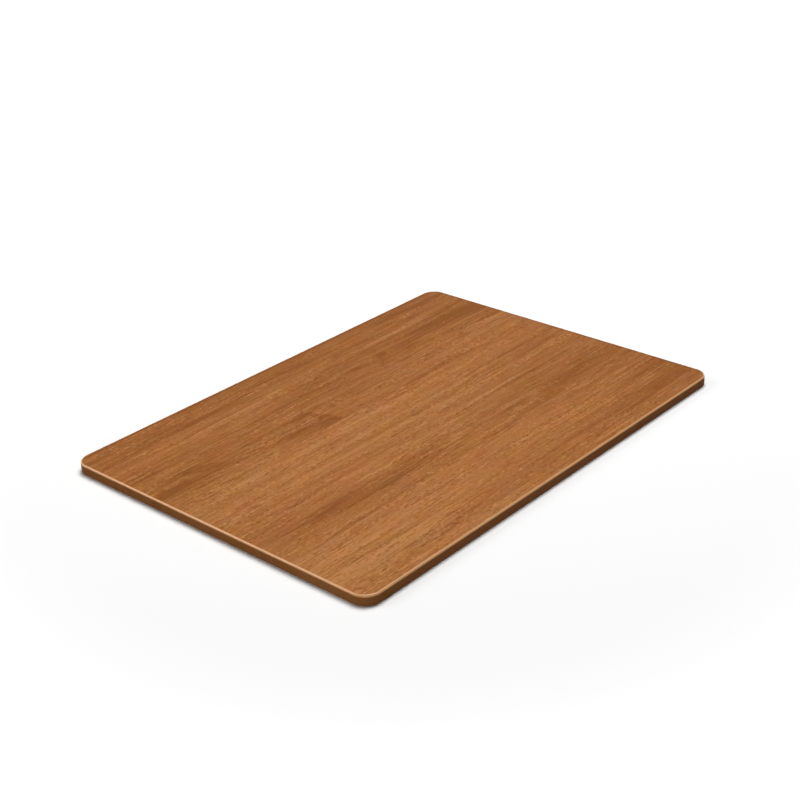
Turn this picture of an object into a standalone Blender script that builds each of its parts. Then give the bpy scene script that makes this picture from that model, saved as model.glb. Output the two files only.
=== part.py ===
"""A wood wall panel sample: one small board with rounded corners, a softened face edge and an eased back edge.

Metres, +Z up. The board lies on its back with its show face up. The origin is the middle of the back, on the
surface the board lies on, +X runs along the grain and +Y across it.
"""

import math

import bmesh
import bpy

# The board
BOARD_LENGTH = 0.297
BOARD_WIDTH = 0.210
BOARD_THICKNESS = 0.006

# The edges: how far the corners are rounded in plan, and how far the two rims are rounded in section
CORNER_RADIUS = 0.009
FACE_EDGE_RADIUS = 0.0012
BACK_EDGE_RADIUS = 0.0005

# Facets in each quarter turn
CORNER_FACETS = 18
FACE_EDGE_FACETS = 6
BACK_EDGE_FACETS = 3

# The finish: warm red-brown wood under a satin oil
WOOD_COLOUR = (0.36, 0.150, 0.055, 1.0)
WOOD_ROUGHNESS = 0.5
WOOD_METALLIC = 0.0

# A bevel is round in section at this profile, and widths closer than this count as equal
ROUND_PROFILE = 0.5
SAME_PLACE = 1e-6


def clear_scene():
    for old in list(bpy.data.objects):
        bpy.data.objects.remove(old, do_unlink=True)


def wood_material():
    material = bpy.data.materials.new("oiled_wood")
    material.use_nodes = True
    shader = material.node_tree.nodes["Principled BSDF"]
    shader.inputs["Base Color"].default_value = WOOD_COLOUR
    shader.inputs["Roughness"].default_value = WOOD_ROUGHNESS
    shader.inputs["Metallic"].default_value = WOOD_METALLIC
    return material


def sawn_blank(mesh):
    """The square-edged blank that the board is cut from, lying on the plane z = 0."""
    bmesh.ops.create_cube(mesh, size=1.0)
    bmesh.ops.scale(mesh, vec=(BOARD_LENGTH, BOARD_WIDTH, BOARD_THICKNESS), verts=mesh.verts)
    bmesh.ops.translate(mesh, vec=(0.0, 0.0, BOARD_THICKNESS / 2), verts=mesh.verts)


def round_over(mesh, edges, radius, facets):
    """Rolls these edges over to a quarter round."""
    bmesh.ops.bevel(
        mesh,
        geom=edges,
        offset=radius,
        offset_type="OFFSET",
        segments=facets,
        profile=ROUND_PROFILE,
        affect="EDGES",
        clamp_overlap=False,
    )


def upright_edges(mesh):
    return [e for e in mesh.edges if abs(e.verts[0].co.z - e.verts[1].co.z) > SAME_PLACE]


def rim_edges(mesh, height):
    """The closed loop of edges round the flat face at this height."""
    return [e for e in mesh.edges if all(abs(v.co.z - height) < SAME_PLACE for v in e.verts)]


def panel_board():
    mesh = bmesh.new()
    sawn_blank(mesh)
    round_over(mesh, upright_edges(mesh), CORNER_RADIUS, CORNER_FACETS)
    round_over(mesh, rim_edges(mesh, BOARD_THICKNESS), FACE_EDGE_RADIUS, FACE_EDGE_FACETS)
    round_over(mesh, rim_edges(mesh, 0.0), BACK_EDGE_RADIUS, BACK_EDGE_FACETS)
    bmesh.ops.recalc_face_normals(mesh, faces=mesh.faces)
    data = bpy.data.meshes.new("panel_board")
    mesh.to_mesh(data)
    mesh.free()
    data.materials.append(wood_material())
    data.shade_smooth()
    data.set_sharp_from_angle(angle=math.radians(30))
    board = bpy.data.objects.new("panel_board", data)
    bpy.context.scene.collection.objects.link(board)
    return board


clear_scene()
panel_board()
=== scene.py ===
"""A wood wall panel sample lying on a pale floor: the finish of its show face, edges and back."""

import math

import bmesh
import bpy
import numpy as np
from mathutils import Matrix, Vector


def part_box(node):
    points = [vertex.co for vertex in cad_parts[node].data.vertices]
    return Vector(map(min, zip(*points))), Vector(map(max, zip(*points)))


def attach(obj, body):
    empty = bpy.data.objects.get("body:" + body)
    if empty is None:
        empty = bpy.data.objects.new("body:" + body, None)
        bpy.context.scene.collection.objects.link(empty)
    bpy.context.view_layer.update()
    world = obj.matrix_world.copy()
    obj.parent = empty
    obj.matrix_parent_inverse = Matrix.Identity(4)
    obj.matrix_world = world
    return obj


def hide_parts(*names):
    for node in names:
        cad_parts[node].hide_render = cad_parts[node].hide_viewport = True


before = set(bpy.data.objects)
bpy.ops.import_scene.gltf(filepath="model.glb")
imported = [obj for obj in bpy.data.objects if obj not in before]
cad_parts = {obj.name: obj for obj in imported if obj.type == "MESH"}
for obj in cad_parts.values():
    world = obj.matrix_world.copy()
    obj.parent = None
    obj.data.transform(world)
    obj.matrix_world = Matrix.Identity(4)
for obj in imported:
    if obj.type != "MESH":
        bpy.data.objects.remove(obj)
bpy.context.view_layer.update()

LOW, HIGH = (Vector(corner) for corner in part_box("panel_board"))
LENGTH, WIDTH, THICKNESS = HIGH - LOW

# The board's edges, in metres
CORNER_RADIUS = 0.009
FACE_EDGE_RADIUS = 0.0012
BACK_EDGE_RADIUS = 0.0005
CORNER_FACETS = 18
FACE_EDGE_FACETS = 8
BACK_EDGE_FACETS = 3

# The show face has rings inside its rim, and cells along and across the grain that are cut in two rounds.
# The back has only a narrow border
RINGS = 15
CELLS_ALONG = (14, 10)
CELLS_ACROSS = (16, 24)
BACK_BORDER = 0.0006

# Grain relief, in metres: the length, width and depth of the pores and of the soft bands, and the strip
# inside the rim over which both fade
PORE_LENGTH = 0.0070
PORE_WIDTH = 0.0010
PORE_DEPTH = 0.00007
BAND_LENGTH = 0.150
BAND_WIDTH = 0.0040
BAND_DEPTH = 0.00004
RELIEF_FADE = 0.0020

# The picture's frame
PICTURE_PIXELS = 800
FOCAL_PIXELS = 1513.8
SENSOR_MM = 36.0
CAMERA_AZIMUTH = math.radians(-48.248)
CAMERA_ELEVATION = math.radians(26.637)
CAMERA_ROLL = math.radians(-1.840)
CAMERA_DISTANCE = 0.8694
CAMERA_TARGET = Vector((0.02054, 0.02240, 0.0))

# The floor and the backdrop that stands round it: their size, how pale they look, how much light they throw
# back, and how far from the board the floor starts to turn quite white and has done so
FLOOR_RADIUS = 6.0
BACKDROP_HEIGHT = 1.6
FLOOR_LOOK = 0.925
FLOOR_BOUNCE = 0.23
FLOOR_WHITENS = (0.20, 0.60)

# The soft boxes: bearing from +X and height in degrees, distance and size in metres, and power in watts. The
# room itself glows faintly
SOFT_BOXES = {
    "main_soft_box": (23.0, 69.0, 2.4, 1.35, 62.0),
    "left_soft_box": (130.0, 34.0, 2.4, 0.8, 12.0),
    "front_soft_box": (215.0, 9.0, 2.4, 0.6, 12.3),
}
ROOM_GLOW = 0.03

# The wood's colour, from its darkest latewood to its palest streaks
WOOD_TONES = (
    (-3.0, (0.2385, 0.0766, 0.0155)),
    (-1.5, (0.2823, 0.0992, 0.0243)),
    (0.0, (0.3383, 0.1276, 0.0357)),
    (1.5, (0.4048, 0.1640, 0.0513)),
    (3.0, (0.4803, 0.2108, 0.0728)),
)

# How far the tones reach either way, and what a stain adds to each share of the colour
TONE_REACH = 4.0
REDDER = (0.016, -0.018, -0.022)
YELLOWER = (0.0, 0.0, -0.064)

# Painted highlight: the rolled rim is mixed towards this pale colour, paler than the face
RIM_HIGHLIGHT_COLOUR = (0.820, 0.378, 0.115)

# The figure of this board, in millimetres from its middle. Each row is a patch: where its middle is, its half
# length along the grain, its half width, its turn in degrees, and how much darker (-) or paler (+) it is. The
# patches' places are listed, but most of the depths in the last column were fitted to the photograph by a
# program. First, broad shades that fade out slowly
SHADES = (
    # Some broad shades are partly painted shade and light: they darken the far side and the right end and
    # pale the near left, evening out how light and the backdrop's sheen fall across the face
    (0.0, 100.0, 260.0, 34.0, 0.0, -1.0),
    (20.0, 58.0, 200.0, 32.0, 0.0, -1.0),
    (150.0, 72.0, 90.0, 32.0, 0.0, -1.3),
    (-110.0, 48.0, 80.0, 20.0, 0.0, -0.4),
    (160.0, -30.0, 110.0, 60.0, 0.0, -0.9),
    (150.0, -90.0, 110.0, 26.0, 0.0, -1.5),
    (-70.0, 2.0, 150.0, 30.0, 0.0, 1.1),
    (-150.0, -75.0, 150.0, 30.0, 0.0, 1.9),
    (-10.0, -67.0, 120.0, 18.0, 0.0, 0.6),
    (-60.0, -41.0, 100.0, 12.0, 0.0, -0.3),
    (60.0, -42.0, 100.0, 16.0, 0.0, -0.4),
    (60.0, 36.0, 90.0, 12.0, 0.0, 0.5),
    (-60.0, 75.0, 110.0, 10.0, 0.0, 0.8),
    (-40.0, -26.0, 110.0, 7.0, 0.0, 0.5),
)
# Bands and stains with soft edges
BANDS = (
    (-95.0, 88.5, 70.0, 4.5, 0.0, -1.2),
    (5.0, 93.5, 34.0, 4.5, 0.0, -0.8),
    (108.0, 96.0, 60.0, 6.0, 0.0, -1.3),
    (100.0, 80.0, 64.0, 4.0, 1.0, 1.4),
    (124.0, 65.0, 56.0, 8.5, 1.0, -1.7),
    (135.0, 70.0, 24.0, 3.0, 0.0, -0.7),
    (-138.0, 36.0, 34.0, 5.5, -3.0, -1.9),
    (-112.0, -33.0, 40.0, 3.0, -6.0, -0.4),
    (57.0, -50.0, 22.0, 6.0, 0.0, -0.8),
    (55.0, -34.0, 50.0, 4.0, 0.0, -0.6),
    (115.0, -41.0, 60.0, 7.0, 0.0, -0.8),
    (128.0, -89.0, 50.0, 8.0, 0.0, -0.5),
    (-50.0, 16.0, 120.0, 5.5, 0.0, 0.8),
    (80.0, 16.0, 80.0, 4.0, 0.0, 0.7),
    (-108.0, -69.0, 66.0, 5.0, 0.0, 0.1),
    (-80.0, -100.0, 90.0, 3.5, 0.0, 1.3),
    (80.0, -100.0, 90.0, 3.0, 0.0, 0.6),
    (100.0, -9.5, 60.0, 2.6, 0.0, 0.3),
)
# Flames and knots with a clear edge
FLAMES = (
    (-43.0, 30.0, 19.0, 4.4, -5.0, -1.1),
    (-30.0, 36.0, 11.0, 3.4, -65.0, -1.5),
    (-39.5, 44.3, 7.5, 3.2, 24.0, -1.4),
    (-34.0, 46.8, 3.6, 1.0, 33.0, -2.2),
    (-31.5, 35.2, 4.0, 1.2, 45.0, -1.6),
    (-32.0, 28.0, 10.0, 3.0, -8.0, -1.3),
    (-27.0, 27.6, 4.0, 1.8, -40.0, -2.0),
    (-46.0, 38.5, 2.4, 1.2, 0.0, -1.4),
    (-44.0, 36.0, 8.0, 2.4, -16.0, 0.4),
    (-57.0, 34.0, 14.0, 3.2, 6.0, -1.2),
    (-112.0, 43.5, 15.0, 4.4, -20.0, -1.6),
    (-121.0, 45.6, 3.4, 1.8, 0.0, -1.3),
    (-129.0, 38.6, 4.5, 1.2, -10.0, -1.3),
    (-126.0, 47.0, 13.0, 2.4, 4.0, -0.6),
    (-132.0, 37.0, 26.0, 3.2, -3.0, -0.4),
    (51.0, 64.0, 6.5, 3.0, -8.0, -1.3),
    (51.4, 63.4, 2.8, 1.8, 20.0, -2.4),
    (42.5, 54.6, 5.4, 0.9, 46.0, -1.6),
    (43.6, 63.0, 1.8, 1.2, 40.0, -1.5),
    (27.0, 62.0, 10.0, 1.9, -2.0, -1.4),
    (70.5, 57.0, 5.0, 2.8, 20.0, -1.0),
    (-72.0, -39.0, 56.0, 6.2, -1.0, -1.3),
    (-104.0, -37.5, 12.0, 2.2, -12.0, -0.5),
    (-27.0, -36.5, 24.0, 2.2, -9.0, -1.8),
    (-48.0, -42.0, 42.0, 2.8, 1.0, -0.8),
    (-8.0, -40.5, 11.0, 2.0, 8.0, 1.7),
    (2.0, -37.5, 10.0, 1.8, -8.0, 1.4),
    (42.0, -42.5, 18.0, 2.2, 5.0, -1.9),
    (98.0, -40.5, 16.0, 2.8, -2.0, -0.6),
    (-20.0, -86.0, 10.0, 3.4, 10.0, 0.3),
)
# Long lines, roughly from the far side to the near side
LINES = (
    # The first two rows are painted shade: dark lines along the far long edge and the right end, where the
    # rim rolls away
    (0.0, 103.4, 400.0, 2.3, 0.0, -3.2),
    (147.6, 0.0, 2.0, 300.0, 0.0, -2.2),
    (-85.0, 84.5, 40.0, 1.8, 0.0, 1.3),
    (55.0, 87.0, 40.0, 2.0, 0.0, -0.9),
    (0.0, 77.0, 170.0, 1.9, 1.0, 0.9),
    (-62.0, 78.2, 66.0, 1.6, 0.0, -1.0),
    (108.0, 76.6, 36.0, 1.8, 0.0, -0.5),
    (-118.0, 68.0, 40.0, 1.6, 0.0, -0.8),
    (-70.0, 65.0, 80.0, 1.8, 0.0, 0.8),
    (-78.0, 60.5, 90.0, 2.2, 0.0, -1.6),
    (25.0, 61.0, 70.0, 2.0, 0.0, -0.8),
    (-80.0, 56.8, 90.0, 1.6, 0.0, 0.7),
    (-60.0, 50.0, 80.0, 1.8, 0.0, 0.3),
    (95.0, 45.0, 64.0, 2.0, 0.0, 0.9),
    (30.0, 41.8, 50.0, 1.6, 0.0, -0.7),
    (-50.0, 26.0, 60.0, 1.8, 0.0, -0.8),
    (65.0, 24.5, 100.0, 2.3, -0.8, -2.1),
    (-35.0, 10.8, 90.0, 1.6, 0.0, -0.6),
    (-75.0, 7.0, 90.0, 1.8, -0.6, -0.8),
    (85.0, 5.0, 76.0, 2.0, -0.6, -1.4),
    (0.0, 2.6, 170.0, 1.8, 0.0, 0.8),
    (-30.0, -2.5, 140.0, 1.9, -0.4, -1.2),
    (108.0, -4.4, 44.0, 1.8, -0.6, -0.7),
    (0.0, -7.0, 170.0, 2.1, -0.8, 1.0),
    (-100.0, -13.0, 60.0, 1.8, 0.0, -0.7),
    (-132.0, -15.6, 24.0, 1.4, 0.0, 0.6),
    (58.0, -15.2, 40.0, 1.6, 0.0, -0.6),
    (-38.0, -15.0, 18.0, 2.4, 0.0, -0.9),
    (-75.0, -18.5, 90.0, 1.9, 0.0, -0.8),
    (42.0, -18.2, 80.0, 1.7, 0.0, 1.1),
    (-78.0, -21.8, 80.0, 1.7, 0.0, 1.3),
    (68.0, -21.2, 100.0, 1.6, 0.0, -1.3),
    (20.0, -31.5, 110.0, 1.7, 0.0, 1.2),
    (35.0, -39.0, 44.0, 1.6, 0.0, 1.3),
    (-130.0, -42.2, 30.0, 1.5, 0.0, -0.5),
    (-75.0, -49.5, 80.0, 2.0, 0.0, 0.4),
    (-95.0, -55.0, 60.0, 1.9, 0.0, -1.4),
    (5.0, -53.0, 70.0, 1.9, 1.0, -1.3),
    (-40.0, -57.6, 120.0, 1.7, 0.0, 0.6),
    (80.0, -59.0, 50.0, 1.8, 0.0, -0.1),
    (-75.0, -61.0, 80.0, 1.7, 0.0, -1.1),
    (0.0, -66.8, 40.0, 1.7, 0.0, -0.8),
    (60.0, -70.0, 100.0, 2.1, 0.0, 0.5),
    (100.0, -73.8, 60.0, 1.9, 0.0, -1.0),
    (-105.0, -73.0, 60.0, 1.7, 0.0, -1.2),
    (15.0, -74.0, 26.0, 1.3, 3.0, 0.9),
    (-100.0, -78.0, 60.0, 1.9, 0.0, -1.3),
    (12.0, -77.0, 34.0, 1.6, 0.0, -0.3),
    (90.0, -77.6, 66.0, 1.6, 0.0, 0.8),
    (-90.0, -82.2, 70.0, 2.0, 0.0, 0.7),
    (-78.0, -86.0, 34.0, 1.8, 0.0, 0.7),
    (-75.0, -91.0, 40.0, 1.7, 0.0, -0.3),
    (-30.0, -96.0, 130.0, 1.9, 0.0, -0.2),
    (115.0, -93.5, 50.0, 1.9, 0.0, -0.8),
)
# Where a patch starts to fade and where it is gone: 0 at its middle and 1 at its rim
SOFT_EDGE = 0.1
CLEAR_EDGE = 0.55
PATCH_END = 1.15

# The tone between the patches, and how far the grain sways, slowly and quickly, in millimetres
BASE_TONE = 0.17
SLOW_SWAY = 3.2
QUICK_SWAY = 1.8

# Streaks are stretched to about 1 either way. A stroke starts to show as a pore or a fibre at the first
# strength, and shows fully at the second. The seeds move the patterns by these steps
STREAK_GAIN = 9.0
DASH_STARTS = 0.6
DASH_FULL = 1.7
SEED_STEP = 13.7
SEED_SHIFT = Vector((7.31, 3.17, 5.93))

# Points closer than these are in the same place, or become one
SAME_PLACE = 2e-5
MERGE_WITHIN = 0.0001

# A level face points up or down at least this much, and one that points down more than the slope is the back
LEVEL = 0.99
BACK_SLOPE = -0.2

# An edge of this share of the length sought still counts
NEARLY = 0.9

SMOOTH_ANGLE = math.radians(30)

MM_PER_METRE = 1000.0


# Scene

def place_camera():
    """The camera, at the height and turn that the picture was taken from."""
    back = Vector((
        math.sin(CAMERA_AZIMUTH) * math.cos(CAMERA_ELEVATION),
        -math.cos(CAMERA_AZIMUTH) * math.cos(CAMERA_ELEVATION),
        math.sin(CAMERA_ELEVATION),
    ))
    level_right = Vector((math.cos(CAMERA_AZIMUTH), math.sin(CAMERA_AZIMUTH), 0.0))
    level_up = back.cross(level_right)
    right = math.cos(CAMERA_ROLL) * level_right + math.sin(CAMERA_ROLL) * level_up
    up = back.cross(right)
    data = bpy.data.cameras.new("camera")
    data.sensor_width = SENSOR_MM
    data.lens = SENSOR_MM * FOCAL_PIXELS / PICTURE_PIXELS
    camera = bpy.data.objects.new("camera", data)
    turn = Matrix((right, up, back)).transposed()
    camera.matrix_world = Matrix.Translation(CAMERA_TARGET + CAMERA_DISTANCE * back) @ turn.to_4x4()
    bpy.context.scene.collection.objects.link(camera)
    bpy.context.scene.camera = camera


def soft_box(name, azimuth, elevation, distance, size, power):
    """A square soft box that faces the middle of the board, at this bearing from +X and this height."""
    azimuth, elevation = math.radians(azimuth), math.radians(elevation)
    towards = Vector((
        math.cos(azimuth) * math.cos(elevation),
        math.sin(azimuth) * math.cos(elevation),
        math.sin(elevation),
    ))
    data = bpy.data.lights.new(name, "AREA")
    data.shape = "SQUARE"
    data.size = size
    data.energy = power
    lamp = bpy.data.objects.new(name, data)
    lamp.location = towards * distance
    lamp.rotation_euler = towards.to_track_quat("Z", "Y").to_euler()
    bpy.context.scene.collection.objects.link(lamp)


def light_room():
    world = bpy.data.worlds.new("pale_room")
    world.use_nodes = True
    tree = world.node_tree
    tree.nodes.clear()
    dim = put(tree, "ShaderNodeBackground", {"Color": grey(1.0), "Strength": ROOM_GLOW})
    put(tree, "ShaderNodeOutputWorld", {"Surface": dim.outputs[0]})
    bpy.context.scene.world = world
    for name, settings in SOFT_BOXES.items():
        soft_box(name, *settings)


def seen(tree, path):
    """1 where a ray comes from the camera, off a gloss or through glass, and 0 for the light itself."""
    shown = maths(tree, "MAXIMUM", path.outputs["Is Camera Ray"], path.outputs["Is Glossy Ray"])
    return maths(tree, "MAXIMUM", shown, path.outputs["Is Transmission Ray"])


def lay_floor():
    """A plain pale floor with a backdrop round it, white to the eye, that keeps the board's shadow."""
    bpy.ops.object.select_all(action="DESELECT")
    bpy.ops.mesh.primitive_circle_add(vertices=96, radius=FLOOR_RADIUS, fill_type="NGON")
    floor = bpy.context.object
    floor.name = "floor"
    start_edit(floor)
    select_edges(floor, lambda edge: edge.is_boundary)
    bpy.ops.mesh.extrude_edges_move(TRANSFORM_OT_translate={"value": (0.0, 0.0, BACKDROP_HEIGHT)})
    bpy.ops.object.mode_set(mode="OBJECT")
    material = bpy.data.materials.new("pale_floor")
    material.use_nodes = True
    tree = material.node_tree
    tree.nodes.clear()
    path = tree.nodes.new("ShaderNodeLightPath")
    bounce = put(tree, "ShaderNodeBsdfDiffuse", {"Color": grey(FLOOR_BOUNCE)})
    lit = put(tree, "ShaderNodeBsdfDiffuse", {"Color": grey(FLOOR_LOOK)})
    place = tree.nodes.new("ShaderNodeTexCoord").outputs["Object"]
    away = vector_maths_value(tree, "LENGTH", place)
    far = smooth_range(tree, away, *FLOOR_WHITENS)
    glow = put(tree, "ShaderNodeEmission", {"Color": grey(1.0), "Strength": far})
    pale = put(tree, "ShaderNodeAddShader", {0: lit.outputs[0], 1: glow.outputs[0]})
    mix = put(tree, "ShaderNodeMixShader", {0: seen(tree, path), 1: bounce.outputs[0], 2: pale.outputs[0]})
    put(tree, "ShaderNodeOutputMaterial", {"Surface": mix.outputs[0]})
    floor.data.materials.append(material)


# Nodes

def put(tree, kind, sockets=None, **settings):
    """Adds a node. Each socket named is set to a value, or joined to the socket given."""
    node = tree.nodes.new(kind)
    for name, value in settings.items():
        setattr(node, name, value)
    for name, value in (sockets or {}).items():
        if isinstance(value, bpy.types.NodeSocket):
            tree.links.new(value, node.inputs[name])
        else:
            node.inputs[name].default_value = value
    return node


def grey(level):
    return (level, level, level, 1.0)


def maths(tree, operation, *values):
    return put(tree, "ShaderNodeMath", dict(enumerate(values)), operation=operation).outputs[0]


def vector_maths(tree, operation, *values):
    return put(tree, "ShaderNodeVectorMath", dict(enumerate(values)), operation=operation).outputs[0]


def vector_maths_value(tree, operation, *values):
    return put(tree, "ShaderNodeVectorMath", dict(enumerate(values)), operation=operation).outputs["Value"]


def smooth_range(tree, value, start, end, at_start=0.0, at_end=1.0):
    """Eases from one value to another as value goes from start to end."""
    sockets = {"Value": value, 1: start, 2: end, 3: at_start, 4: at_end}
    return put(tree, "ShaderNodeMapRange", sockets, interpolation_type="SMOOTHSTEP").outputs[0]


def total(tree, *terms):
    """The sum of (value, share) pairs, and of plain values."""
    result = None
    for term in terms:
        value = maths(tree, "MULTIPLY", *term) if isinstance(term, tuple) else term
        result = value if result is None else maths(tree, "ADD", result, value)
    return result


def group(name, inputs, outputs):
    """A new node group with these sockets: {name: (type, default)} in and {name: type} out."""
    tree = bpy.data.node_groups.new(name, "ShaderNodeTree")
    for label, (kind, default) in inputs.items():
        socket = tree.interface.new_socket(label, in_out="INPUT", socket_type=kind)
        if default is not None:
            socket.default_value = default
    for label, kind in outputs.items():
        tree.interface.new_socket(label, in_out="OUTPUT", socket_type=kind)
    return tree, tree.nodes.new("NodeGroupInput").outputs


def give(tree, **results):
    """Joins these results to the group's outputs."""
    put(tree, "NodeGroupOutput", results)


def use(tree, made, **sockets):
    """Places a node group in a tree and returns its outputs."""
    return put(tree, "ShaderNodeGroup", sockets, node_tree=made).outputs


VECTOR = "NodeSocketVector"
NUMBER = "NodeSocketFloat"
COLOUR = "NodeSocketColor"


# Wood

def noise(tree, place, size, seed):
    """Soft blotches of about this size, from 0 to 1 with their middle at 0.5."""
    per_blotch = tuple(1.0 / edge for edge in size)
    sockets = {"Vector": place, "Location": seed * SEED_SHIFT, "Scale": per_blotch}
    spread = put(tree, "ShaderNodeMapping", sockets).outputs[0]
    return put(tree, "ShaderNodeTexNoise", {"Vector": spread, "Scale": 1.0, "Detail": 0.0}).outputs[0]


def make_grain_space():
    """The place in millimetres, swayed sideways a little as the grain of a sawn board is."""
    tree, given = group("grain_space", {"Place": (VECTOR, None)}, {"Grain": VECTOR})
    place = vector_maths(tree, "MULTIPLY", given["Place"], (MM_PER_METRE, MM_PER_METRE, MM_PER_METRE))
    slow = maths(tree, "SUBTRACT", noise(tree, place, (150.0, 40.0, 40.0), 1.0), 0.5)
    quick = maths(tree, "SUBTRACT", noise(tree, place, (34.0, 9.0, 9.0), 2.0), 0.5)
    sway = total(tree, (slow, SLOW_SWAY), (quick, QUICK_SWAY))
    sideways = put(tree, "ShaderNodeCombineXYZ", {0: 0.0, 1: sway, 2: sway}).outputs[0]
    give(tree, Grain=vector_maths(tree, "ADD", place, sideways))
    return tree


def make_streaks():
    """Streaks along the grain: 0 on the whole, and about 1 either way, this long and wide in millimetres."""
    tree, given = group(
        "grain_streaks",
        {"Grain": (VECTOR, None), "Length": (NUMBER, 50.0), "Width": (NUMBER, 2.0), "Seed": (NUMBER, 0.0)},
        {"Streak": NUMBER},
    )
    length, width = given["Length"], given["Width"]
    size = put(tree, "ShaderNodeCombineXYZ", {0: length, 1: width, 2: width}).outputs[0]
    spread = vector_maths(tree, "DIVIDE", given["Grain"], size)
    apart = maths(tree, "MULTIPLY", given["Seed"], SEED_STEP)
    moved = vector_maths(tree, "ADD", spread, apart)
    sockets = {"Vector": moved, "Scale": 1.0, "Detail": 1.0, "Roughness": 0.5}
    soft = put(tree, "ShaderNodeTexNoise", sockets).outputs[0]
    give(tree, Streak=maths(tree, "MULTIPLY", maths(tree, "SUBTRACT", soft, 0.5), STREAK_GAIN))
    return tree


def make_patch():
    """Lays one patch of darker or paler wood over the tone below, its edge drawn out along the grain."""
    tree, given = group(
        "tone_patch",
        {
            "Grain": (VECTOR, None),
            "Feather": (NUMBER, 0.0),
            "Middle": (VECTOR, None),
            "Along": (VECTOR, None),
            "Across": (VECTOR, None),
            "Edge": (NUMBER, SOFT_EDGE),
            "Depth": (NUMBER, 0.0),
            "Below": (NUMBER, 0.0),
        },
        {"Tone": NUMBER},
    )
    offset = vector_maths(tree, "SUBTRACT", given["Grain"], given["Middle"])
    along = vector_maths_value(tree, "DOT_PRODUCT", offset, given["Along"])
    across = vector_maths_value(tree, "DOT_PRODUCT", offset, given["Across"])
    inside = put(tree, "ShaderNodeCombineXYZ", {0: along, 1: across}).outputs[0]
    away = maths(tree, "ADD", vector_maths_value(tree, "LENGTH", inside), given["Feather"])
    share = smooth_range(tree, away, given["Edge"], PATCH_END, 1.0, 0.0)
    give(tree, Tone=maths(tree, "MULTIPLY_ADD", share, given["Depth"], given["Below"]))
    return tree


def make_figure(streaks, patch):
    """The figure of the whole board: its broad bands and patches, and the long lines between them."""
    tree, given = group(
        "board_figure",
        {"Grain": (VECTOR, None)},
        {"Tone": NUMBER, "Lines": NUMBER, "Redness": NUMBER, "Yellowness": NUMBER},
    )
    grain = given["Grain"]
    middling = use(tree, streaks, Grain=grain, Length=110.0, Width=5.5, Seed=2.0)[0]
    narrow = use(tree, streaks, Grain=grain, Length=60.0, Width=2.6, Seed=3.0)[0]
    thin = use(tree, streaks, Grain=grain, Length=28.0, Width=1.4, Seed=4.0)[0]
    long_lines = use(tree, streaks, Grain=grain, Length=260.0, Width=1.6, Seed=14.0)[0]
    feather = total(tree, (middling, 0.08), (narrow, 0.09), (thin, 0.06))
    tone = total(tree, (middling, 0.15), BASE_TONE)
    for patches, edge in ((SHADES + BANDS + LINES, SOFT_EDGE), (FLAMES, CLEAR_EDGE)):
        for x, y, long, wide, turn, depth in patches:
            cosine, sine = math.cos(math.radians(turn)), math.sin(math.radians(turn))
            tone = use(tree, patch, Grain=grain, Feather=feather, Middle=(x, y, 0.0),
                       Along=(cosine / long, sine / long, 0.0), Across=(-sine / wide, cosine / wide, 0.0),
                       Edge=edge, Depth=depth, Below=tone)[0]
    lines = total(tree, (narrow, 0.23), (thin, 0.18), (long_lines, 0.22))
    red_blots = use(tree, streaks, Grain=grain, Length=14.0, Width=10.0, Seed=5.0)[0]
    red_areas = use(tree, streaks, Grain=grain, Length=120.0, Width=45.0, Seed=16.0)[0]
    yellow_blots = use(tree, streaks, Grain=grain, Length=11.0, Width=8.0, Seed=17.0)[0]
    yellow_areas = use(tree, streaks, Grain=grain, Length=90.0, Width=16.0, Seed=18.0)[0]
    redness = total(tree, (red_blots, 0.80), (red_areas, 0.35))
    yellowness = total(tree, yellow_blots, (yellow_areas, 0.25))
    give(tree, Tone=tone, Lines=lines, Redness=redness, Yellowness=yellowness)
    return tree


def make_dashes(streaks):
    """Short strokes along the grain: dark open pores and the pale fibres between them, each from 0 to 1."""
    tree, given = group(
        "grain_dashes",
        {"Grain": (VECTOR, None), "Length": (NUMBER, 5.0), "Width": (NUMBER, 0.8), "Seed": (NUMBER, 0.0)},
        {"Pores": NUMBER, "Fibres": NUMBER},
    )
    stroke = use(tree, streaks, Grain=given["Grain"], Length=given["Length"], Width=given["Width"],
                 Seed=given["Seed"])[0]
    give(
        tree,
        Pores=smooth_range(tree, stroke, -DASH_STARTS, -DASH_FULL),
        Fibres=smooth_range(tree, stroke, DASH_STARTS, DASH_FULL),
    )
    return tree


def ramp_place(tone):
    """Where a tone lies on the colour ramp, from 0 to 1."""
    return 0.5 + tone / (2 * TONE_REACH)


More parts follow.
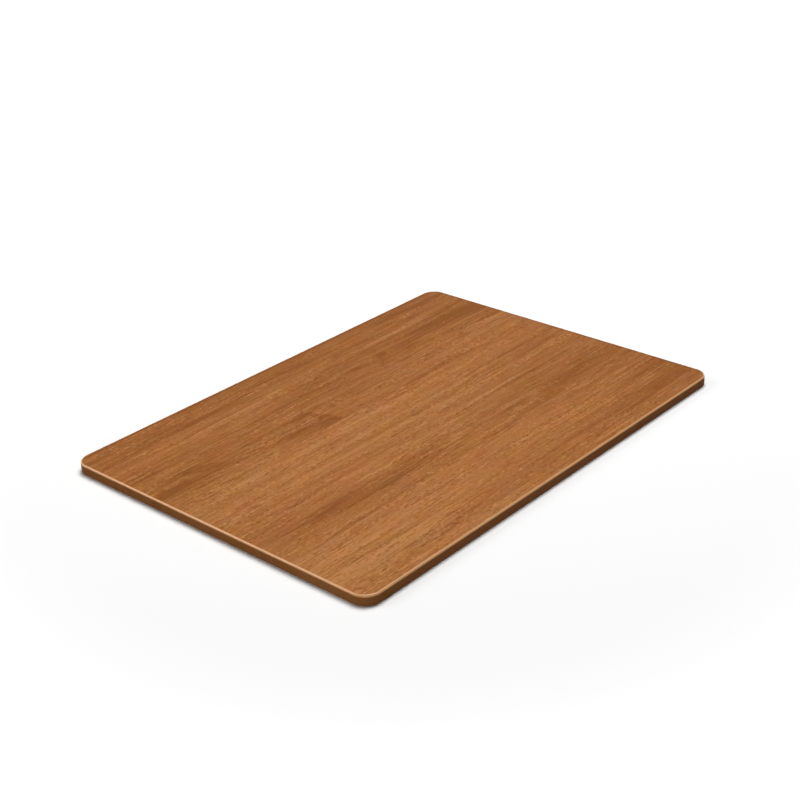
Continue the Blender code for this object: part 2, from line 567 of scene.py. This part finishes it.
def make_wood_colour():
    """Turns a tone into the colour of the wood. Shade multiplies all of it, and the last input mixes in the
    pale colour of the painted highlight on the rim.
    """
    tree, given = group(
        "wood_colour",
        {
            "Tone": (NUMBER, 0.0),
            "Redness": (NUMBER, 0.0),
            "Yellowness": (NUMBER, 0.0),
            "Shade": (NUMBER, 1.0),
            "Rubbed": (NUMBER, 0.0),
        },
        {"Colour": COLOUR},
    )
    sockets = {"Value": given["Tone"], 1: -TONE_REACH, 2: TONE_REACH, 3: 0.0, 4: 1.0}
    place = put(tree, "ShaderNodeMapRange", sockets).outputs[0]
    ramp = put(tree, "ShaderNodeValToRGB", {0: place})
    steps = ramp.color_ramp.elements
    (first_tone, first_colour), *between, (last_tone, last_colour) = WOOD_TONES
    steps[0].position = ramp_place(first_tone)
    steps[0].color = (*first_colour, 1.0)
    steps[1].position = ramp_place(last_tone)
    steps[1].color = (*last_colour, 1.0)
    for tone, colour in between:
        steps.new(ramp_place(tone)).color = (*colour, 1.0)
    stain = vector_maths(tree, "MULTIPLY_ADD", given["Redness"], REDDER, (1.0, 1.0, 1.0))
    stain = vector_maths(tree, "MULTIPLY_ADD", given["Yellowness"], YELLOWER, stain)
    stained = vector_maths(tree, "MULTIPLY", ramp.outputs["Color"], stain)
    shaded = vector_maths(tree, "MULTIPLY", stained, given["Shade"])
    # Mixes in the pale colour of the painted highlight on the rim
    mix = put(tree, "ShaderNodeMix", {"Factor": given["Rubbed"]}, data_type="RGBA")
    tree.links.new(shaded, mix.inputs["A"])
    mix.inputs["B"].default_value = (*RIM_HIGHLIGHT_COLOUR, 1.0)
    give(tree, Colour=mix.outputs["Result"])
    return tree


def new_wood(name):
    """A material with a Principled BSDF, and the place on the board that its patterns read."""
    material = bpy.data.materials.new(name)
    material.use_nodes = True
    tree = material.node_tree
    shader = tree.nodes["Principled BSDF"]
    place = tree.nodes.new("ShaderNodeTexCoord").outputs["Object"]
    return material, tree, shader, place


def make_woods():
    """The oiled show face, the sawn edges and the sanded back."""
    grain_space = make_grain_space()
    streaks = make_streaks()
    patch = make_patch()
    figure = make_figure(streaks, patch)
    dashes = make_dashes(streaks)
    colour = make_wood_colour()
    return (
        oiled_face(grain_space, streaks, figure, dashes, colour),
        sawn_edge(grain_space, streaks, figure, dashes, colour),
        sanded_back(grain_space, streaks, figure, dashes, colour),
    )


def oiled_face(grain_space, streaks, figure, dashes, colour):
    material, tree, shader, place = new_wood("oiled_show_face")
    grain = use(tree, grain_space, Place=place)[0]
    drawn = use(tree, figure, Grain=grain)
    hair_lines = use(tree, dashes, Grain=grain, Length=55.0, Width=1.1, Seed=15.0)
    long_pores = use(tree, dashes, Grain=grain, Length=14.0, Width=1.0, Seed=6.0)
    short_pores = use(tree, dashes, Grain=grain, Length=2.4, Width=1.05, Seed=7.0)
    fine = use(tree, streaks, Grain=grain, Length=9.0, Width=0.35, Seed=8.0)[0]
    rows = use(tree, streaks, Grain=grain, Length=50.0, Width=1.9, Seed=9.0)[0]
    areas = use(tree, streaks, Grain=grain, Length=60.0, Width=12.0, Seed=19.0)[0]
    patchy = smooth_range(tree, total(tree, rows, (areas, 0.5)), -1.2, 1.6, 0.42, 1.28)
    pressed = put(tree, "ShaderNodeAttribute", attribute_name="pore_depth").outputs["Fac"]
    strokes = total(
        tree,
        (hair_lines["Pores"], -1.3),
        (hair_lines["Fibres"], 1.1),
        (long_pores["Pores"], -1.6),
        (long_pores["Fibres"], 1.3),
        (short_pores["Pores"], -2.4),
        (short_pores["Fibres"], 2.0),
        (pressed, -0.7),
    )
    roll = put(tree, "ShaderNodeAttribute", attribute_name="rim_roll").outputs["Fac"]
    upper_roll = smooth_range(tree, roll, 0.05, 0.45)
    # Painted highlight: the rim's colour turns pale over its upper roll, and less so further round; the coat
    # adds real gloss
    rim_highlight = total(tree, upper_roll, smooth_range(tree, roll, 0.60, 1.0, 0.0, -0.50))
    polished = total(tree, upper_roll, smooth_range(tree, roll, 0.50, 0.90, 0.0, -0.80))
    tone = total(tree, drawn["Tone"], drawn["Lines"], (strokes, patchy), (fine, 0.12))
    wood = use(tree, colour, Tone=tone, Redness=drawn["Redness"], Yellowness=drawn["Yellowness"],
               Rubbed=rim_highlight)
    tree.links.new(wood["Colour"], shader.inputs["Base Color"])
    tree.links.new(polished, shader.inputs["Coat Weight"])
    rough = total(tree, (long_pores["Pores"], 0.10), (drawn["Lines"], -0.02))
    tree.links.new(maths(tree, "ADD", rough, 0.40), shader.inputs["Roughness"])
    height = total(
        tree,
        (long_pores["Pores"], -1.0),
        (short_pores["Pores"], -0.6),
        (hair_lines["Pores"], -0.3),
        (fine, 0.06),
        (drawn["Lines"], 0.20),
    )
    bump = put(tree, "ShaderNodeBump", {"Height": height, "Strength": 0.5, "Distance": 0.00006})
    tree.links.new(bump.outputs[0], shader.inputs["Normal"])
    shader.inputs["Specular IOR Level"].default_value = 0.05
    shader.inputs["Coat Roughness"].default_value = 0.38
    shader.inputs["Coat IOR"].default_value = 2.2
    return material


def sawn_edge(grain_space, streaks, figure, dashes, colour):
    material, tree, shader, place = new_wood("oiled_edge")
    grain = use(tree, grain_space, Place=place)[0]
    drawn = use(tree, figure, Grain=grain)
    pores = use(tree, dashes, Grain=grain, Length=4.0, Width=0.4, Seed=10.0)
    fine = use(tree, streaks, Grain=grain, Length=12.0, Width=0.9, Seed=11.0)[0]
    tone = total(tree, (drawn["Tone"], 0.45), (drawn["Lines"], 0.6), (pores["Pores"], -0.8), (fine, 0.25))
    wood = use(tree, colour, Tone=tone, Redness=drawn["Redness"], Yellowness=drawn["Yellowness"],
               Shade=0.98)
    tree.links.new(wood["Colour"], shader.inputs["Base Color"])
    bump = put(tree, "ShaderNodeBump", {"Height": pores["Pores"], "Strength": 0.5, "Distance": 0.00005})
    bump.invert = True
    tree.links.new(bump.outputs[0], shader.inputs["Normal"])
    shader.inputs["Roughness"].default_value = 0.6
    shader.inputs["Specular IOR Level"].default_value = 0.05
    return material


def sanded_back(grain_space, streaks, figure, dashes, colour):
    material, tree, shader, place = new_wood("sanded_back")
    grain = use(tree, grain_space, Place=place)[0]
    drawn = use(tree, figure, Grain=grain)
    pores = use(tree, dashes, Grain=grain, Length=6.0, Width=0.7, Seed=12.0)
    scratches = use(tree, streaks, Grain=grain, Length=40.0, Width=0.3, Seed=13.0)[0]
    tone = total(tree, (drawn["Tone"], 0.6), (drawn["Lines"], 0.8), (pores["Pores"], -1.0),
                 (scratches, 0.10))
    wood = use(tree, colour, Tone=tone, Redness=drawn["Redness"], Yellowness=drawn["Yellowness"],
               Shade=1.07)
    tree.links.new(wood["Colour"], shader.inputs["Base Color"])
    height = total(tree, (pores["Pores"], -1.0), (scratches, 0.10))
    bump = put(tree, "ShaderNodeBump", {"Height": height, "Strength": 0.5, "Distance": 0.00006})
    tree.links.new(bump.outputs[0], shader.inputs["Normal"])
    shader.inputs["Roughness"].default_value = 0.68
    shader.inputs["Specular IOR Level"].default_value = 0.20
    return material


# Modelling

def start_edit(piece):
    bpy.ops.object.select_all(action="DESELECT")
    bpy.context.view_layer.objects.active = piece
    piece.select_set(True)
    bpy.ops.object.mode_set(mode="EDIT")


def select_edges(piece, wanted):
    """Selects, in edit mode, the edges for which wanted(edge) holds."""
    bpy.ops.mesh.select_mode(type="EDGE")
    bpy.ops.mesh.select_all(action="DESELECT")
    mesh = bmesh.from_edit_mesh(piece.data)
    for edge in mesh.edges:
        edge.select_set(bool(wanted(edge)))
    bmesh.update_edit_mesh(piece.data)


def select_faces(piece, wanted):
    """Selects, in edit mode, the faces for which wanted(face) holds."""
    bpy.ops.mesh.select_mode(type="FACE")
    bpy.ops.mesh.select_all(action="DESELECT")
    mesh = bmesh.from_edit_mesh(piece.data)
    for face in mesh.faces:
        face.select_set(bool(wanted(face)))
    bmesh.update_edit_mesh(piece.data)


def lies_along(edge, axis, least):
    """Whether an edge runs along this axis, 0 for X and 1 for Y, and is longer than least."""
    reach = edge.verts[1].co - edge.verts[0].co
    return abs(reach[axis]) > least and abs(reach[1 - axis]) < SAME_PLACE and abs(reach.z) < SAME_PLACE


def cut_across(piece, axis, run, counts):
    """Cuts every edge that runs this far along an axis into counts[0] x counts[1] x ... equal parts."""
    longest = run
    for count in counts:
        select_edges(piece, lambda edge: lies_along(edge, axis, NEARLY * longest))
        bpy.ops.mesh.subdivide(number_cuts=count - 1)
        longest /= count


def model_board():
    """The board as one mesh, with a fine grid along the grain on its show face and a plain back."""
    bpy.ops.object.select_all(action="DESELECT")
    bpy.ops.mesh.primitive_cube_add(size=1.0, location=(LOW + HIGH) / 2)
    board = bpy.context.object
    board.name = "sample_board"
    board.scale = (LENGTH, WIDTH, THICKNESS)
    bpy.ops.object.transform_apply(location=True, rotation=False, scale=True)
    start_edit(board)
    select_edges(board, lambda edge: abs(edge.verts[0].co.z - edge.verts[1].co.z) > SAME_PLACE)
    bpy.ops.mesh.bevel(offset=CORNER_RADIUS, segments=CORNER_FACETS, profile=0.5, affect="EDGES")
    for height, radius, facets in (
        (HIGH.z, FACE_EDGE_RADIUS, FACE_EDGE_FACETS),
        (LOW.z, BACK_EDGE_RADIUS, BACK_EDGE_FACETS),
    ):
        select_edges(board, lambda edge: all(abs(v.co.z - height) < SAME_PLACE for v in edge.verts))
        bpy.ops.mesh.bevel(offset=radius, segments=facets, profile=0.5, affect="EDGES")
    select_faces(board, lambda face: face.normal.z < -LEVEL and face.calc_area() > LENGTH * WIDTH / 2)
    bpy.ops.mesh.inset(thickness=BACK_BORDER)
    select_faces(board, lambda face: face.normal.z > LEVEL and face.calc_area() > LENGTH * WIDTH / 2)
    flat_radius = CORNER_RADIUS - FACE_EDGE_RADIUS
    for ring in range(RINGS):
        bpy.ops.mesh.inset(thickness=flat_radius / RINGS)
    bpy.ops.mesh.remove_doubles(threshold=MERGE_WITHIN)
    cut_across(board, 0, LENGTH - 2 * CORNER_RADIUS, CELLS_ALONG)
    cut_across(board, 1, WIDTH - 2 * CORNER_RADIUS, CELLS_ACROSS)
    inner_x = LENGTH / 2 - BACK_EDGE_RADIUS - BACK_BORDER + SAME_PLACE
    inner_y = WIDTH / 2 - BACK_EDGE_RADIUS - BACK_BORDER + SAME_PLACE
    select_faces(board, lambda face: face.normal.z < -LEVEL and all(
        abs(v.co.x) < inner_x and abs(v.co.y) < inner_y for v in face.verts))
    bpy.ops.mesh.dissolve_faces()
    bpy.ops.object.mode_set(mode="OBJECT")
    return board


def inside_rim(x, y):
    """How far a place on the show face lies inside the line where the flat begins, in metres."""
    past_x = abs(x) - (LENGTH / 2 - CORNER_RADIUS)
    past_y = abs(y) - (WIDTH / 2 - CORNER_RADIUS)
    corner = math.hypot(max(past_x, 0.0), max(past_y, 0.0))
    return CORNER_RADIUS - FACE_EDGE_RADIUS - corner - min(max(past_x, past_y), 0.0)


def press_grain(board, name, length, width, depth, lowest, highest):
    """Presses a layer of blotches of this length, width and depth into the show face, and never above it."""
    blotches = bpy.data.textures.new(name, "CLOUDS")
    blotches.noise_scale = 1.0
    blotches.noise_depth = 1
    blotches.use_color_ramp = True
    floor_step, face_step = blotches.color_ramp.elements
    floor_step.position = lowest
    floor_step.color = (0.0, 0.0, 0.0, 1.0)
    face_step.position = highest
    face_step.color = (1.0, 1.0, 1.0, 1.0)
    bpy.ops.object.empty_add(location=(0.0, 0.0, 0.0))
    guide = bpy.context.object
    guide.scale = (length, width, width)
    bpy.context.view_layer.update()
    bpy.ops.object.select_all(action="DESELECT")
    board.select_set(True)
    bpy.context.view_layer.objects.active = board
    press = board.modifiers.new(name, "DISPLACE")
    press.texture = blotches
    press.texture_coords = "OBJECT"
    press.texture_coords_object = guide
    press.direction = "Z"
    press.mid_level = 1.0
    press.strength = depth
    press.vertex_group = "flat_of_face"
    bpy.ops.object.modifier_apply(modifier=press.name)
    bpy.data.objects.remove(guide)
    bpy.data.textures.remove(blotches)


def press_relief(board):
    """Gives the show face its open pores and soft bands, and notes how deep each pore is for the finish."""
    flat = board.vertex_groups.new(name="flat_of_face")
    for vertex in board.data.vertices:
        if vertex.co.z > HIGH.z - SAME_PLACE:
            share = min(max(inside_rim(vertex.co.x, vertex.co.y) / RELIEF_FADE, 0.0), 1.0)
            flat.add([vertex.index], share, "REPLACE")
    press_grain(board, "open_pores", PORE_LENGTH, PORE_WIDTH, PORE_DEPTH, lowest=0.26, highest=0.44)
    places = np.empty(3 * len(board.data.vertices), dtype=np.float32)
    board.data.vertices.foreach_get("co", places)
    below = HIGH.z - places[2::3]
    on_face = below < 2 * PORE_DEPTH
    depths = np.where(on_face, np.clip(below / PORE_DEPTH, 0.0, 1.0), 0.0).astype(np.float32)
    board.data.attributes.new("pore_depth", "FLOAT", "POINT").data.foreach_set("value", depths)
    press_grain(board, "soft_bands", BAND_LENGTH, BAND_WIDTH, BAND_DEPTH, lowest=0.25, highest=0.75)


def note_rim(board):
    """Notes how far round the rolled rim each point lies, from 0 on the flat to 1 on the upright edge."""
    roll = board.data.attributes.new("rim_roll", "FLOAT", "POINT").data
    for vertex in board.data.vertices:
        fallen = min(max((HIGH.z - vertex.co.z) / FACE_EDGE_RADIUS, 0.0), 1.0)
        roll[vertex.index].value = math.acos(1.0 - fallen) / (math.pi / 2)


def finish_faces(board, woods):
    """The show face and its rolled rim, then the edges, then the back."""
    for wood in woods:
        board.data.materials.append(wood)
    for face in board.data.polygons:
        height = min(board.data.vertices[v].co.z for v in face.vertices)
        if face.normal.z < BACK_SLOPE:
            face.material_index = 2
        elif height < HIGH.z - FACE_EDGE_RADIUS - SAME_PLACE:
            face.material_index = 1


def main():
    place_camera()
    light_room()
    lay_floor()
    board = model_board()
    note_rim(board)
    press_relief(board)
    finish_faces(board, make_woods())
    bpy.ops.object.select_all(action="DESELECT")
    board.select_set(True)
    bpy.context.view_layer.objects.active = board
    bpy.ops.object.shade_smooth_by_angle(angle=SMOOTH_ANGLE)
    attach(board, "root")
    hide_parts("panel_board")


bpy.context.scene.view_settings.view_transform = "Standard"
main()
